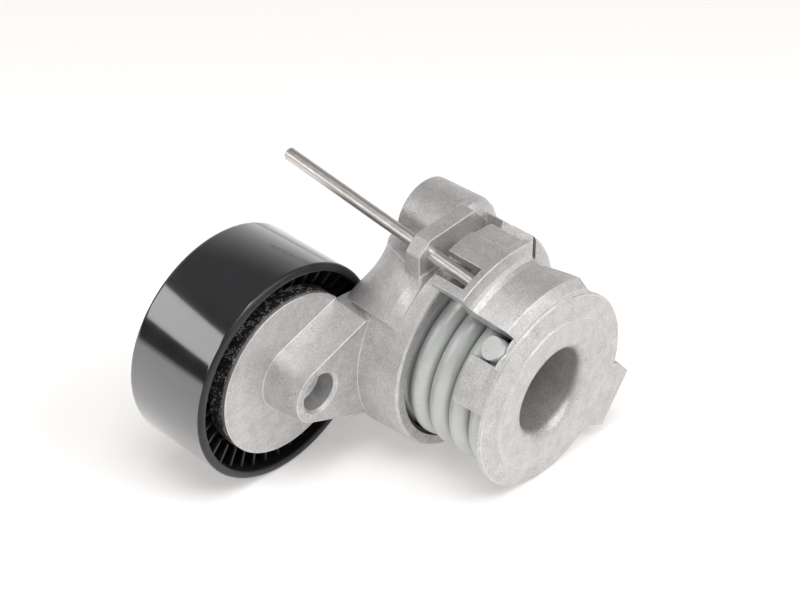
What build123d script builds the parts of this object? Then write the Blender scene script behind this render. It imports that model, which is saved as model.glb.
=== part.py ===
"""Spring-loaded accessory-drive belt tensioner with its idler pulley.

The arm turns about the Y axis.  The origin is the centre of the mounting bore on
the mounting face, which looks along -Y; the pulley is at the +Y end.  Directions in
cross-sections are measured from +X towards +Z, in degrees.  Sizes are millimetres.
"""
import os
from math import cos, pi, radians, sin

from build123d import *

# ---- driving dimensions -------------------------------------------------------
PULLEY_R = 35.0            # belt surface radius
PULLEY_FRONT = 59.6        # near rim of the pulley
PULLEY_WIDTH = 29.6
ARM_LENGTH = 49.4          # pivot axis to pulley axis
PULLEY_ANGLE = 175.7       # direction of the pulley from the pivot

PLATE_R = 31.3             # mounting plate
MOUNT_R = 24.5             # raised mounting land
BORE_R = 13.5              # mounting bore, inside its rounded mouth
LAND_STEP = 0.45           # small step round the land
MARK_R = 2.4               # round witness marks of the ejector pins, on the land
BORE_ROUNDING = 3.8
BORE_FOOT_R = 13.0         # radius at the foot of the cast bore
BORE_DEPTH = 26.0
SLEEVE_BORE_R = 5.4        # clearance hole for the M10 mounting bolt
SLEEVE_R = 7.5

HUB_R = 19.2               # cast hub inside the spring
HUB_STEP = 30.0            # where the hub steps down to the journal
JOURNAL_R = 14.0
JOURNAL_END = 55.6
TIP_R = 11.5
TIP_END = 60.0

SHELL_IN_R = 30.3          # shroud over the spring
SHELL_START = 78.0         # its two straight edges
SHELL_STOP = 119.5
FLANGE_R = 41.6
FLANGE_END = 20.6
PRONG_IN_R = 38.0
PRONG_END = 33.2
SLOT_ANGLE = 110.6         # slot between the prongs, for the lock pin
SLOT_UPPER, SLOT_LOWER = 4.75, 3.55

WIRE_R = 3.5               # torsion spring
COIL_R = 25.2              # mean radius
COIL_PITCH = 7.53
COIL_START = 138.0         # where the wire leaves the coil at the mount end
COIL_START_Y = 5.52
COIL_TURNS = 4 + (71.0 + 360.0 - 138.0) / 360.0
LEG_BEND_R = 5.2
LEG_REACH = 33.4           # how far out the two legs reach

BARREL_IN_R = 30.0         # cup of the arm around the spring
BARREL_RIM = 31.6
BARREL_RIM_R = 33.3
BARREL_R = 34.3
CHAMBER_END = 48.0
ARM_BACK = 59.0
LUG_FACE = 46.5
LUG_END_R = 9.5
WEB_FRONT = 37.2
WEB_BACK = 42.5
HEAD_X, HEAD_Z = 7.4, 31.3    # round head on top of the arm
DISC_R = 25.9              # arm plate in front of the pulley
DISC_BACK = 60.2
SHIELD_R = 26.1             # hub shield behind that plate
SHIELD_BACK = 65.5

BUSH_R = 15.6              # outside of the pivot bushes
ARM_HUB_R = 19.6
RECESS_R = 20.2            # friction pack recess at the back of the arm
RECESS_FLOOR = 54.4

PIN_R = 2.0                # lock pin
PIN_START = 20.9
PIN_LENGTH = 74.6
PIN_X, PIN_Z = -12.8, 36.4    # where its axis crosses the plane y = PIN_START
PIN_RISE = 0.13            # climb per mm along Y

BEARING_BORE_R = 8.5       # 17 x 40 x 12 deep-groove bearing
BEARING_R = 20.0
BEARING_START = 68.4
BEARING_WIDTH = 12.0
BALL_R = 3.4
BALL_PITCH_R = 14.25
BALL_COUNT = 8
RIB_COUNT = 38
BOLT_R = 5.0               # M10 pulley bolt
BOLT_TIP = 53.6

RUNNING = 0.05             # radial clearance of every turning fit

PULLEY_X = ARM_LENGTH * cos(radians(PULLEY_ANGLE))
PULLEY_Z = ARM_LENGTH * sin(radians(PULLEY_ANGLE))
PULLEY_BACK = PULLEY_FRONT + PULLEY_WIDTH
BEARING_END = BEARING_START + BEARING_WIDTH
BEARING_MID = BEARING_START + BEARING_WIDTH / 2
COIL_END = COIL_START + 360.0 * COIL_TURNS

os.makedirs("parts", exist_ok=True)


# ---- helpers ------------------------------------------------------------------
def polar(radius, angle):
    """A point of a cross-section at a radius and direction from the pivot."""
    return (radius * cos(radians(angle)), radius * sin(radians(angle)))


def across(y):
    """The cross-section plane at y: its own x is X and its own y is Z."""
    return Plane.XZ.offset(-y)


def radial_plane(angle, x=0.0, z=0.0):
    """A plane through a line parallel to Y: its own x points outwards, its own y is Y."""
    a = radians(angle)
    return Plane((x, 0, z), x_dir=(cos(a), 0, sin(a)), z_dir=(-sin(a), 0, cos(a)))


def turn(outline, x=0.0, z=0.0, mode=Mode.ADD):
    """Turn an outline of (radius, y) corners round the line parallel to Y at (x, z)."""
    with BuildSketch(Plane((x, 0, z))) as profile:
        with BuildLine():
            Polyline(*outline, close=True)
        make_face()
    revolve(profile.sketch, axis=Axis((x, 0, z), (0, 1, 0)), mode=mode)


def sector(outline, start, end, mode=Mode.ADD):
    """Turn (radius, y) corners round the pivot from one direction to another."""
    with BuildSketch(radial_plane(start)) as profile:
        with BuildLine():
            Polyline(*outline, close=True)
        make_face()
    revolve(profile.sketch, axis=Axis((0, 0, 0), (0, -1, 0)), revolution_arc=end - start, mode=mode)


def slab(corners, start, end, mode=Mode.ADD):
    """Extrude a polygon of (x, z) corners from y = start to y = end."""
    with BuildSketch(across(start)) as profile:
        with BuildLine():
            Polyline(*corners, close=True)
        make_face()
    extrude(profile.sketch, amount=-(end - start), mode=mode)


def rod(radius, start, end, x=0.0, z=0.0, mode=Mode.ADD):
    """A round bar parallel to Y."""
    with BuildSketch(across(start)) as profile:
        with Locations((x, z)):
            Circle(radius)
    extrude(profile.sketch, amount=-(end - start), mode=mode)


def save(body, name):
    body.part.label = name
    export_step(body.part, f"parts/{name}.step")
    print(f"{name:22s} {body.part.volume:10.1f} mm3  {len(body.part.solids())} solid(s)")


# ---- torsion spring -----------------------------------------------------------
def coil_point(angle):
    """A point of the wire's centre line; the angle runs on from COIL_START."""
    x, z = polar(COIL_R, angle)
    return Vector(x, COIL_START_Y + COIL_PITCH * (angle - COIL_START) / 360.0, z)


def leg_frame(angle, direction, rise):
    """Root, direction along the wire and direction outwards of a leg."""
    a = radians(angle)
    along = Vector(-COIL_R * sin(a), COIL_PITCH / (2 * pi), COIL_R * cos(a)).normalized() * direction
    up = (Vector(0, 1, 0) - along * along.Y).normalized()
    outward = Vector(cos(a), 0, sin(a)) * cos(radians(rise)) + up * sin(radians(rise))
    return coil_point(angle), along, outward


def spring_leg(angle, direction, rise):
    """The wire's bend out of the coil and its short straight leg."""
    root, along, outward = leg_frame(angle, direction, rise)
    centre = root + outward * LEG_BEND_R
    with BuildSketch(Plane(root, x_dir=outward, z_dir=along)) as bend_section:
        Circle(WIRE_R)
    revolve(bend_section.sketch, axis=Axis(centre, along.cross(outward)), revolution_arc=90)
    with BuildSketch(Plane(centre + along * LEG_BEND_R, x_dir=along, z_dir=outward)) as leg_section:
        Circle(WIRE_R)
    extrude(leg_section.sketch, amount=LEG_REACH - COIL_R - LEG_BEND_R)


MOUNT_LEG_RISE = 12.0      # the mount-end leg leans away from the plate
coil = Rotation(0, 90 - COIL_START, 0) * Helix(
    pitch=COIL_PITCH, height=COIL_PITCH * COIL_TURNS, radius=COIL_R,
    center=(0, COIL_START_Y, 0), direction=(0, 1, 0), lefthand=True)
with BuildPart() as torsion_spring:
    with BuildSketch(Plane(coil @ 0, z_dir=coil % 0)):
        Circle(WIRE_R)
    sweep(path=coil, is_frenet=True)
    spring_leg(COIL_START, -1, MOUNT_LEG_RISE)
    spring_leg(COIL_END, 1, 0)
save(torsion_spring, "torsion_spring")


# ---- base housing: plate, hub, shroud, prongs ---------------------------------
CAVITY_R = 29.4            # room for the spring between hub and shroud
FLOOR = 1.8                # inside face of the plate
SLANT_TOP = (36.0, 77.9, 14.5)       # radius, direction, y of the shroud's slanted edge
SLANT_FOOT = (35.0, 63.0, 2.2)

# the last stretch of the shroud, cut off along a slanted line
with BuildPart() as shroud_end:
    sector([(30.3, 2.2), (32.4, 2.2), (35.0, 4.7), (36.1, 14.5), (30.3, 14.5)], 60, SHELL_START)
    top_x, top_z = polar(*SLANT_TOP[:2])
    foot_x, foot_z = polar(*SLANT_FOOT[:2])
    edge = Vector(foot_x - top_x, SLANT_FOOT[2] - SLANT_TOP[2], foot_z - top_z)
    outward = Vector(cos(radians(70)), 0, sin(radians(70)))
    with BuildSketch(Plane((top_x, SLANT_TOP[2], top_z), x_dir=edge, z_dir=edge.cross(outward))):
        Rectangle(60, 60)
    extrude(amount=-30, mode=Mode.SUBTRACT)

# helical seat under the first turn of the spring
RAMP_START, RAMP_STOP = 168.0, 432.0
RAMP_HEIGHT = 7.0
RAMP_IN_R, RAMP_OUT_R = 20.5, 30.9
ramp_top = coil_point(RAMP_START).Y - WIRE_R - 0.15
ramp_path = Rotation(0, 90 - RAMP_START, 0) * Helix(
    pitch=COIL_PITCH, height=COIL_PITCH * (RAMP_STOP - RAMP_START) / 360,
    radius=(RAMP_IN_R + RAMP_OUT_R) / 2, center=(0, ramp_top - RAMP_HEIGHT / 2, 0),
    direction=(0, 1, 0), lefthand=True)
with BuildPart() as ramp:
    with BuildSketch(radial_plane(RAMP_START)):
        with Locations(((RAMP_IN_R + RAMP_OUT_R) / 2, ramp_top - RAMP_HEIGHT / 2)):
            Rectangle(RAMP_OUT_R - RAMP_IN_R, RAMP_HEIGHT)
    sweep(path=ramp_path, is_frenet=True)
    rod(40, -20, 1.5, mode=Mode.SUBTRACT)

with BuildPart() as base_housing:
    # plate with its raised land, thin rim and locating tab
    turn([(0, 0), (MOUNT_R, 0), (MOUNT_R + 0.3, LAND_STEP), (PLATE_R - 1.2, 1.3), (PLATE_R - 0.4, 1.6),
          (PLATE_R, 2.1), (PLATE_R, 2.8), (0, 2.8)])
    slab([(24.0, -6.0), (32.1, -9.0), (36.7, -14.7), (25.7, -29.7), (19.6, -26.3), (14.0, -22.0)], 1.1, 5.2)
    # shroud, its chamfered foot, and the flange ridge with a hollow fillet under it
    sector([(SHELL_IN_R - 1, 2.2), (32.4, 2.2), (35.0, 4.7), (36.4, 15.2), (36.9, 16.7), (37.9, 17.6),
            (39.4, 18.1), (FLANGE_R, 18.3), (FLANGE_R, FLANGE_END), (SHELL_IN_R - 1, FLANGE_END)],
           SHELL_START, SHELL_STOP)
    add(shroud_end.part)
    # the ring that becomes the two prongs, and the block beside the upper one
    sector([(PRONG_IN_R, FLANGE_END - 0.2), (FLANGE_R, FLANGE_END - 0.2), (FLANGE_R, PRONG_END),
            (PRONG_IN_R, PRONG_END)], SHELL_START, SHELL_STOP)
    sector([(FLANGE_R - 1, FLANGE_END), (50, FLANGE_END), (50, 40), (FLANGE_R - 1, 40)],
           SHELL_START - 2, 89.2, mode=Mode.SUBTRACT)
    sector([(30, 24.3), (50, 24.3), (50, 40), (30, 40)], 89.2, 90.3, mode=Mode.SUBTRACT)
    sector([(30, 31.2), (50, 31.2), (50, 40), (30, 40)], 112, 130, mode=Mode.SUBTRACT)
    # slot for the lock pin, with parallel sides
    with BuildSketch(radial_plane(SLOT_ANGLE)):
        with Locations((FLANGE_R, FLANGE_END + 10)):
            Rectangle(12, 20)
    extrude(amount=SLOT_LOWER, mode=Mode.SUBTRACT)
    with BuildSketch(radial_plane(SLOT_ANGLE)):
        with Locations((FLANGE_R, FLANGE_END + 10)):
            Rectangle(12, 20)
    extrude(amount=-SLOT_UPPER, mode=Mode.SUBTRACT)
    # abutment for the mount-end leg of the spring, and the strip under that leg
    sector([(29.0, 2.2), (PLATE_R, 2.2), (32.3, 4.6), (32.3, 12.4), (31.5, 13.2), (29.0, 13.2)], 136.2, 162)
    sector([(29.0, 2.2), (PLATE_R, 2.2), (32.6, 3.1), (32.6, 3.5), (29.0, 3.5)], SHELL_STOP - 1, 137)
    # clear the spring's room, then put the hub and the helical seat in it
    rod(CAVITY_R, FLOOR, PRONG_END, mode=Mode.SUBTRACT)
    sector([(CAVITY_R - 1, 2.8), (SHELL_IN_R, 2.8), (SHELL_IN_R, 40), (CAVITY_R - 1, 40)],
           40, SHELL_STOP, mode=Mode.SUBTRACT)
    add(ramp.part)
    # seat for the mount-end leg
    leg_root, leg_along, leg_out = leg_frame(COIL_START, -1, MOUNT_LEG_RISE)
    with BuildSketch(Plane(leg_root + leg_along * LEG_BEND_R, x_dir=leg_along, z_dir=leg_out)):
        Circle(WIRE_R + 0.2)
    extrude(amount=LEG_REACH - COIL_R + 3, mode=Mode.SUBTRACT)
    turn([(0, 0.5), (21.0, 0.5), (21.0, 2.2), (HUB_R, 4.5), (HUB_R, HUB_STEP), (JOURNAL_R, HUB_STEP),
          (JOURNAL_R, JOURNAL_END), (TIP_R, JOURNAL_END), (TIP_R, TIP_END - 0.6), (TIP_R - 0.6, TIP_END),
          (0, TIP_END)])
    # cast bore with a rounded mouth, the sleeve's bore, and the retaining ring's groove
    with BuildSketch(Plane.XY) as bore_section:
        with BuildLine():
            Polyline((BORE_R, BORE_ROUNDING), (BORE_FOOT_R, BORE_DEPTH), (0, BORE_DEPTH), (0, -1),
                     (BORE_R + BORE_ROUNDING, -1), (BORE_R + BORE_ROUNDING, 0))
            RadiusArc((BORE_R + BORE_ROUNDING, 0), (BORE_R, BORE_ROUNDING), BORE_ROUNDING)
        make_face()
    revolve(bore_section.sketch, axis=Axis.Y, mode=Mode.SUBTRACT)
    for radius, angle, depth in ((21.9, 39, 0.25), (25.1, -43, 0.9), (22.0, 227, 0.25), (21.4, 134, 0.25)):
        x, z = polar(radius, angle)
        turn([(MARK_R - 0.3, -1), (MARK_R, -1), (MARK_R, depth), (MARK_R - 0.3, depth)], x, z, mode=Mode.SUBTRACT)
    rod(SLEEVE_R, BORE_DEPTH - 1, TIP_END + 1, mode=Mode.SUBTRACT)
    turn([(10.5, 58.5), (12.5, 58.5), (12.5, 59.4), (10.5, 59.4)], mode=Mode.SUBTRACT)
save(base_housing, "base_housing")


# ---- small parts on the pivot -------------------------------------------------
with BuildPart() as bolt_sleeve:
    turn([(SLEEVE_BORE_R, BORE_DEPTH), (SLEEVE_R, BORE_DEPTH), (SLEEVE_R, TIP_END + 0.2),
          (SLEEVE_R - 0.4, TIP_END + 0.6), (SLEEVE_BORE_R + 0.4, TIP_END + 0.6), (SLEEVE_BORE_R, TIP_END + 0.2)])
save(bolt_sleeve, "bolt_sleeve")

with BuildPart() as spring_guide:
    turn([(HUB_R + 0.1, 9.6), (20.6, 9.6), (20.9, 10.2), (20.9, 29.0), (HUB_R + 0.1, 29.0)])
save(spring_guide, "spring_guide")

with BuildPart() as front_bush:
    turn([(JOURNAL_R + RUNNING, HUB_STEP + 0.3), (18.6, HUB_STEP + 0.3), (18.6, BARREL_RIM),
          (BUSH_R, BARREL_RIM), (BUSH_R, 42), (JOURNAL_R + RUNNING, 42)])
save(front_bush, "front_bush")

with BuildPart() as rear_bush:
    turn([(JOURNAL_R + RUNNING, 43), (BUSH_R, 43), (BUSH_R, RECESS_FLOOR), (JOURNAL_R + RUNNING, RECESS_FLOOR)])
save(rear_bush, "rear_bush")

with BuildPart() as friction_washer:
    turn([(14.4, RECESS_FLOOR), (19.8, RECESS_FLOOR), (19.8, 55.55), (14.4, 55.55)])
save(friction_washer, "friction_washer")

with BuildPart() as thrust_plate:
    turn([(TIP_R + 0.1, JOURNAL_END), (19.6, JOURNAL_END), (19.6, 56.6), (TIP_R + 0.1, 56.6)])
save(thrust_plate, "thrust_plate")

with BuildPart() as disc_spring:
    turn([(19.0, 56.62), (19.0, 57.3), (12.2, 58.45), (11.8, 57.9)])
save(disc_spring, "disc_spring")

with BuildPart() as retaining_ring:
    sector([(10.6, 58.55), (14.0, 58.55), (14.0, 59.35), (10.6, 59.35)], -70, 250)
    for angle in (-64, 244):
        x, z = polar(13.0, angle)
        rod(1.8, 58.55, 59.35, x, z)
        rod(0.9, 58.0, 60.0, x, z, mode=Mode.SUBTRACT)
save(retaining_ring, "retaining_ring")


# ---- swing arm ----------------------------------------------------------------
def pin_axis_plane(y):
    """The plane across the lock pin where its axis crosses y."""
    return Plane((PIN_X, y, PIN_Z + PIN_RISE * (y - PIN_START)), x_dir=(1, 0, 0), z_dir=(0, 1, PIN_RISE))


arm_leg_root, arm_leg_along, arm_leg_out = leg_frame(COIL_END, 1, 0)
arm_leg_centre = arm_leg_root + arm_leg_along * LEG_BEND_R
LEG_POCKET_R = WIRE_R + 0.3

# the neck's upper edge, as (x, z) points, at stations along Y
NECK = (
    (36.6, [(-28.1, 19.6), (-25.1, 23.3), (-22.3, 26.0), (-20.2, 27.7), (-18.4, 30.0), (-17.9, 33.0)]),
    (40.2, [(-28.7, 20.9), (-25.8, 24.3), (-23.0, 26.9), (-20.8, 28.6), (-18.9, 30.6), (-18.1, 33.5)]),
    (49.0, [(-28.7, 21.4), (-25.5, 24.3), (-22.2, 27.1), (-19.2, 29.2), (-16.6, 31.4), (-14.9, 33.8)]),
    (54.5, [(-28.0, 20.9), (-25.2, 23.1), (-21.5, 25.2), (-17.8, 26.9), (-14.6, 29.0), (-12.2, 32.5)]),
    (ARM_BACK, [(-26.5, 18.5), (-23.0, 19.8), (-18.5, 21.4), (-13.8, 23.0), (-10.2, 25.6), (-7.3, 30.5)]),
)


def neck_section(y, curve):
    """A cross-section of the neck: the smooth upper edge, closed inside the cup."""
    with BuildSketch(across(y)) as section:
        with BuildLine():
            Spline(*curve)
            Polyline(curve[-1], (-3, 33.5), (0, 12), (-24, 12), curve[0])
        make_face()
    return section


with BuildPart() as swing_arm:
    # the cup over the spring, domed down at the back
    turn([(0, BARREL_RIM), (BARREL_RIM_R - 0.5, BARREL_RIM), (BARREL_RIM_R, BARREL_RIM + 0.5),
          (BARREL_R, LUG_FACE), (BARREL_R, 49.0), (33.0, 52.2), (28.5, 56.4), (25.5, 58.2), (24.0, ARM_BACK),
          (0, ARM_BACK)])
    # flat along the top edge of the cup
    slab([(-29.7, 17.3), (-28.9, 18.6), (-26.0, 22.4), (-28, 25), (-37, 25), (-37, 17.3)],
         BARREL_RIM - 1, LUG_FACE + 0.5, mode=Mode.SUBTRACT)
    # the arm between cup and pulley, ending round the pulley bolt, with casting draft
    with BuildSketch(across(LUG_FACE)):
        with BuildLine():
            Polyline((PULLEY_X - 2.65, PULLEY_Z + 9.12), (-30.3, 19.1), (0, 15), (0, -15), (-30.6, -15.9),
                     (PULLEY_X - 4.15, PULLEY_Z - 8.55))
            ThreePointArc((PULLEY_X - 4.15, PULLEY_Z - 8.55), (PULLEY_X - LUG_END_R, PULLEY_Z),
                          (PULLEY_X - 2.65, PULLEY_Z + 9.12))
        make_face()
    extrude(amount=-(ARM_BACK - LUG_FACE), taper=-7)
    # neck: a chamfer up from the cup, then a saddle that rises to the head and narrows towards the back
    stations = [neck_section(*station) for station in NECK]
    loft([stations[0].sketch, stations[1].sketch], ruled=True)
    loft([station.sketch for station in stations[1:]])
    slab([(HEAD_X - 12, HEAD_Z), (19.6, 31.3), (22.5, 24), (0, 10), (-12, 20)], WEB_BACK - 1, ARM_BACK)
    # web plate that carries the lock pin
    slab([(-21.5, 26.6), (-19.5, 28.1), (-18.4, 29.9), (-18, 32), (-18, 39.3), (-17.6, 40.1), (-13.8, 43.1),
          (-13.0, 43.4), (5.5, 43.85), (12, 36), (10, 20), (-10, 20)], WEB_FRONT, WEB_BACK)
    turn([(0, WEB_FRONT), (6.2, WEB_FRONT), (8.6, 37.8), (10.6, 39.0), (11.9, 40.8), (12.5, 43.0),
          (11.95, ARM_BACK - 0.6), (11.4, ARM_BACK), (0, ARM_BACK)], HEAD_X, HEAD_Z)
    # raised sector of the rim with its slot, and the over-travel stop
    sector([(28, BARREL_RIM), (36.4, BARREL_RIM), (37, BARREL_RIM + 0.6), (37, 38), (35.4, 42.5), (28, 42.5)],
           12, 62)
    slab([polar(33, 59), polar(37.2, 60), polar(38.6, 65), polar(40.4, 70), polar(41.6, 74), polar(33, 74)],
         BARREL_RIM, WEB_FRONT + 1)
    slab([(25.8, 17), (27.3, 17), (27.3, 27), (25.8, 27)], BARREL_RIM - 1, BARREL_RIM + 3, mode=Mode.SUBTRACT)
    # plate in front of the pulley and the spigot for its bearing
    rod(DISC_R, ARM_BACK, DISC_BACK, PULLEY_X, PULLEY_Z)
    rod(11.6, DISC_BACK - 1, BEARING_START, PULLEY_X, PULLEY_Z)
    # chamber for the spring, hub for the bushes, recess for the friction pack
    rod(BARREL_IN_R, BARREL_RIM - 1, CHAMBER_END, mode=Mode.SUBTRACT)
    rod(ARM_HUB_R, BARREL_RIM, CHAMBER_END + 1)
    rod(BUSH_R, BARREL_RIM - 1, RECESS_FLOOR + 1, mode=Mode.SUBTRACT)
    rod(RECESS_R, RECESS_FLOOR, ARM_BACK + 1, mode=Mode.SUBTRACT)
    # pocket for the spring's leg
    with BuildSketch(Plane(arm_leg_centre, x_dir=arm_leg_along, z_dir=arm_leg_out)):
        Circle(LEG_POCKET_R)
    extrude(amount=LEG_REACH - COIL_R + 0.3, mode=Mode.SUBTRACT)
    # tool hole in front of the bolt, thread, and the lock pin's hole
    turn([(0, LUG_FACE - 1), (6.9, LUG_FACE - 1), (6.9, LUG_FACE), (6.0, LUG_FACE + 0.9), (6.0, 53.4),
          (BOLT_R + RUNNING, 54.2), (BOLT_R + RUNNING, BEARING_START + 1), (0, BEARING_START + 1)],
         PULLEY_X, PULLEY_Z, mode=Mode.SUBTRACT)
    with BuildSketch(pin_axis_plane(WEB_FRONT - 3)):
        Circle(PIN_R + RUNNING)
    extrude(amount=12, mode=Mode.SUBTRACT)
save(swing_arm, "swing_arm")

with BuildPart() as damping_liner:
    turn([(29.0, BARREL_RIM + 1), (BARREL_IN_R - 0.02, BARREL_RIM + 1), (BARREL_IN_R - 0.02, 46), (29.0, 46)])
    sector([(28, 37.0), (31, 37.0), (31, 47), (28, 47)], 66, 96, mode=Mode.SUBTRACT)
save(damping_liner, "damping_liner")

with BuildPart() as lock_pin:
    start = pin_axis_plane(PIN_START)
    with BuildSketch(start):
        Circle(PIN_R)
    extrude(amount=PIN_LENGTH)
    chamfer(lock_pin.edges().filter_by(GeomType.CIRCLE), 0.45)
save(lock_pin, "lock_pin")


# ---- pulley, bearing and bolt -------------------------------------------------
def at_pulley(outline, mode=Mode.ADD):
    turn(outline, PULLEY_X, PULLEY_Z, mode)


def race(mode=Mode.SUBTRACT):
    """Ball groove of a bearing ring."""
    with BuildSketch(Plane((PULLEY_X, 0, PULLEY_Z))) as groove:
        with Locations((BALL_PITCH_R, BEARING_MID)):
            Circle(BALL_R + RUNNING)
    revolve(groove.sketch, axis=Axis((PULLEY_X, 0, PULLEY_Z), (0, 1, 0)), mode=mode)


WEB_FACE, WEB_FAR = 73.0, 76.0
RIM_IN_R = 32.3
HUB_RING_R = 23.4
with BuildPart() as pulley_shell:
    at_pulley([(RIM_IN_R, PULLEY_FRONT + 1.0), (33.0, PULLEY_FRONT), (34.4, PULLEY_FRONT),
               (PULLEY_R, PULLEY_FRONT + 0.6), (PULLEY_R, PULLEY_BACK - 0.6), (34.4, PULLEY_BACK),
               (33.0, PULLEY_BACK), (RIM_IN_R, PULLEY_BACK - 1.0)])
    at_pulley([(BEARING_R, 66.4), (HUB_RING_R, 66.4), (HUB_RING_R, 83.0), (BEARING_R, 83.0)])
    at_pulley([(HUB_RING_R - 0.5, WEB_FACE), (RIM_IN_R + 0.5, WEB_FACE), (RIM_IN_R + 0.5, WEB_FAR),
               (HUB_RING_R - 0.5, WEB_FAR)])
    ribs = [radial_plane(360 * k / RIB_COUNT, PULLEY_X, PULLEY_Z) for k in range(RIB_COUNT)]
    with BuildSketch(*ribs):
        with BuildLine():
            Polyline((HUB_RING_R - 0.5, 66.9), (26.6, 66.3), (26.9, 63.8), (RIM_IN_R + 0.4, 62.6),
                     (RIM_IN_R + 0.4, 86.4), (HUB_RING_R - 0.5, 82.4), close=True)
        make_face()
    extrude(amount=0.6, both=True)
save(pulley_shell, "pulley_shell")

with BuildPart() as bearing_outer_ring:
    at_pulley([(16.4, BEARING_START), (BEARING_R - 0.4, BEARING_START), (BEARING_R, BEARING_START + 0.4),
               (BEARING_R, BEARING_END - 0.4), (BEARING_R - 0.4, BEARING_END), (16.4, BEARING_END)])
    race()
save(bearing_outer_ring, "bearing_outer_ring")

with BuildPart() as bearing_inner_ring:
    at_pulley([(BEARING_BORE_R, BEARING_START), (11.8, BEARING_START), (11.8, BEARING_END),
               (BEARING_BORE_R, BEARING_END)])
    race()
save(bearing_inner_ring, "bearing_inner_ring")

with BuildPart() as bearing_balls:
    for k in range(BALL_COUNT):
        x, z = polar(BALL_PITCH_R, 360 * k / BALL_COUNT)
        with Locations((PULLEY_X + x, BEARING_MID, PULLEY_Z + z)):
            Sphere(BALL_R)
save(bearing_balls, "bearing_balls")

with BuildPart() as bearing_cage:
    at_pulley([(13.5, BEARING_MID - 4.2), (15.0, BEARING_MID - 4.2), (15.0, BEARING_MID + 4.2),
               (13.5, BEARING_MID + 4.2)])
    for k in range(BALL_COUNT):
        outward = radial_plane(360 * k / BALL_COUNT, PULLEY_X, PULLEY_Z).x_dir
        with BuildSketch(Plane((PULLEY_X, BEARING_MID, PULLEY_Z), z_dir=outward)):
            Circle(BALL_R + 0.12)
        extrude(amount=BEARING_R, mode=Mode.SUBTRACT)
save(bearing_cage, "bearing_cage")

for name, face in (("front_bearing_seal", BEARING_START + 0.3), ("rear_bearing_seal", BEARING_END - 1.1)):
    with BuildPart() as seal:
        at_pulley([(11.95, face + 0.2), (12.6, face), (16.4, face), (16.4, face + 0.8), (12.6, face + 0.8),
                   (11.95, face + 0.6)])
    save(seal, name)

with BuildPart() as bearing_spacer:
    at_pulley([(BOLT_R + 0.1, BEARING_START), (BEARING_BORE_R - 0.02, BEARING_START),
               (BEARING_BORE_R - 0.02, BEARING_END), (BOLT_R + 0.1, BEARING_END)])
save(bearing_spacer, "bearing_spacer")

HEAD_START = BEARING_END + 1.8
with BuildPart() as bolt_washer:
    at_pulley([(BOLT_R + 0.1, BEARING_END), (11.6, BEARING_END), (11.6, HEAD_START), (BOLT_R + 0.1, HEAD_START)])
save(bolt_washer, "bolt_washer")

with BuildPart() as pulley_bolt:
    at_pulley([(0, BOLT_TIP), (BOLT_R - 0.8, BOLT_TIP), (BOLT_R, BOLT_TIP + 0.8), (BOLT_R, HEAD_START),
               (0, HEAD_START)])
    with BuildSketch(across(HEAD_START)):
        with Locations((PULLEY_X, PULLEY_Z)):
            RegularPolygon(radius=8.0, side_count=6, major_radius=False)
    extrude(amount=-4.6)
save(pulley_bolt, "pulley_bolt")

with BuildPart() as hub_shield:
    at_pulley([(11.62, DISC_BACK), (SHIELD_R - 0.3, DISC_BACK), (SHIELD_R, DISC_BACK + 0.3),
               (SHIELD_R, SHIELD_BACK - 0.5), (SHIELD_R - 0.5, SHIELD_BACK), (11.62, SHIELD_BACK)])
save(hub_shield, "hub_shield")

with BuildPart() as dust_cap:
    at_pulley([(0, 87.6), (17.8, 87.6), (18.6, 86.9), (18.6, 81.0), (BEARING_R - 0.02, 81.0),
               (BEARING_R - 0.02, 83.0), (21.6, 83.0), (21.6, 86.2), (19.2, 88.6), (0, 88.6)])
save(dust_cap, "dust_cap")
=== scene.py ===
# %% [markdown]
# # Belt tensioner with idler pulley
#
# A belt tensioner lies on a white table: a die-cast base, a torsion spring, a die-cast swing
# arm, a bright lock pin and a black pulley. The frame, with every part in its place, comes
# from the CAD model. This lesson dresses it: it sets up the studio, winds the spring and
# moulds the pulley with Geometry Nodes, and builds one procedural material for each finish.

# %% Load the frame
from math import atan2, cos, degrees, pi, radians, sin

import bmesh
import bpy
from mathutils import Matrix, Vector


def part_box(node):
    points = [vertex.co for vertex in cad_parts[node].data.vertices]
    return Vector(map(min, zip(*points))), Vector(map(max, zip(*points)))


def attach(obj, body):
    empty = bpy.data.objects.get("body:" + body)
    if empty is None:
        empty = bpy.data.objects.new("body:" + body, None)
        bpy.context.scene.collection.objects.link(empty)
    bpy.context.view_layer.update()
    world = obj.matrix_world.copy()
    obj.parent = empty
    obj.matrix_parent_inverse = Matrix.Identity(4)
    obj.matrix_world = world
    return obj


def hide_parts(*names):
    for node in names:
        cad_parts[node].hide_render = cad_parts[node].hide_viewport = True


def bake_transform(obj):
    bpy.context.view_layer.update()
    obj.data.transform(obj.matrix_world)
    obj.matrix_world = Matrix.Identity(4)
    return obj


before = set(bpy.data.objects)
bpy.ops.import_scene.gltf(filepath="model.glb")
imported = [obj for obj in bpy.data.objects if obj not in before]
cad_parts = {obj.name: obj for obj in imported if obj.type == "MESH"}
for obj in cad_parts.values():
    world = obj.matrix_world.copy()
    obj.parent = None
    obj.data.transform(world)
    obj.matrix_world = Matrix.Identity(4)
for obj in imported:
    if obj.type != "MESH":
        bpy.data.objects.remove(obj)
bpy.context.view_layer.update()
MM = 0.001

# %% [markdown]
# ## Helpers
#
# Colours are easiest to choose as sRGB hex values, but Blender works in linear light, so one
# function turns the first into the second. Another adds a node to any tree: it takes the
# node's settings and, for each socket, either a value or another node's output to link.

# %% Colour and node helpers
def colour(text):
    """Linear RGBA of an sRGB hex value."""
    parts = [int(text[i:i + 2], 16) / 255 for i in (1, 3, 5)]
    return tuple(c / 12.92 if c <= 0.04045 else ((c + 0.055) / 1.055) ** 2.4 for c in parts) + (1.0,)


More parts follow.
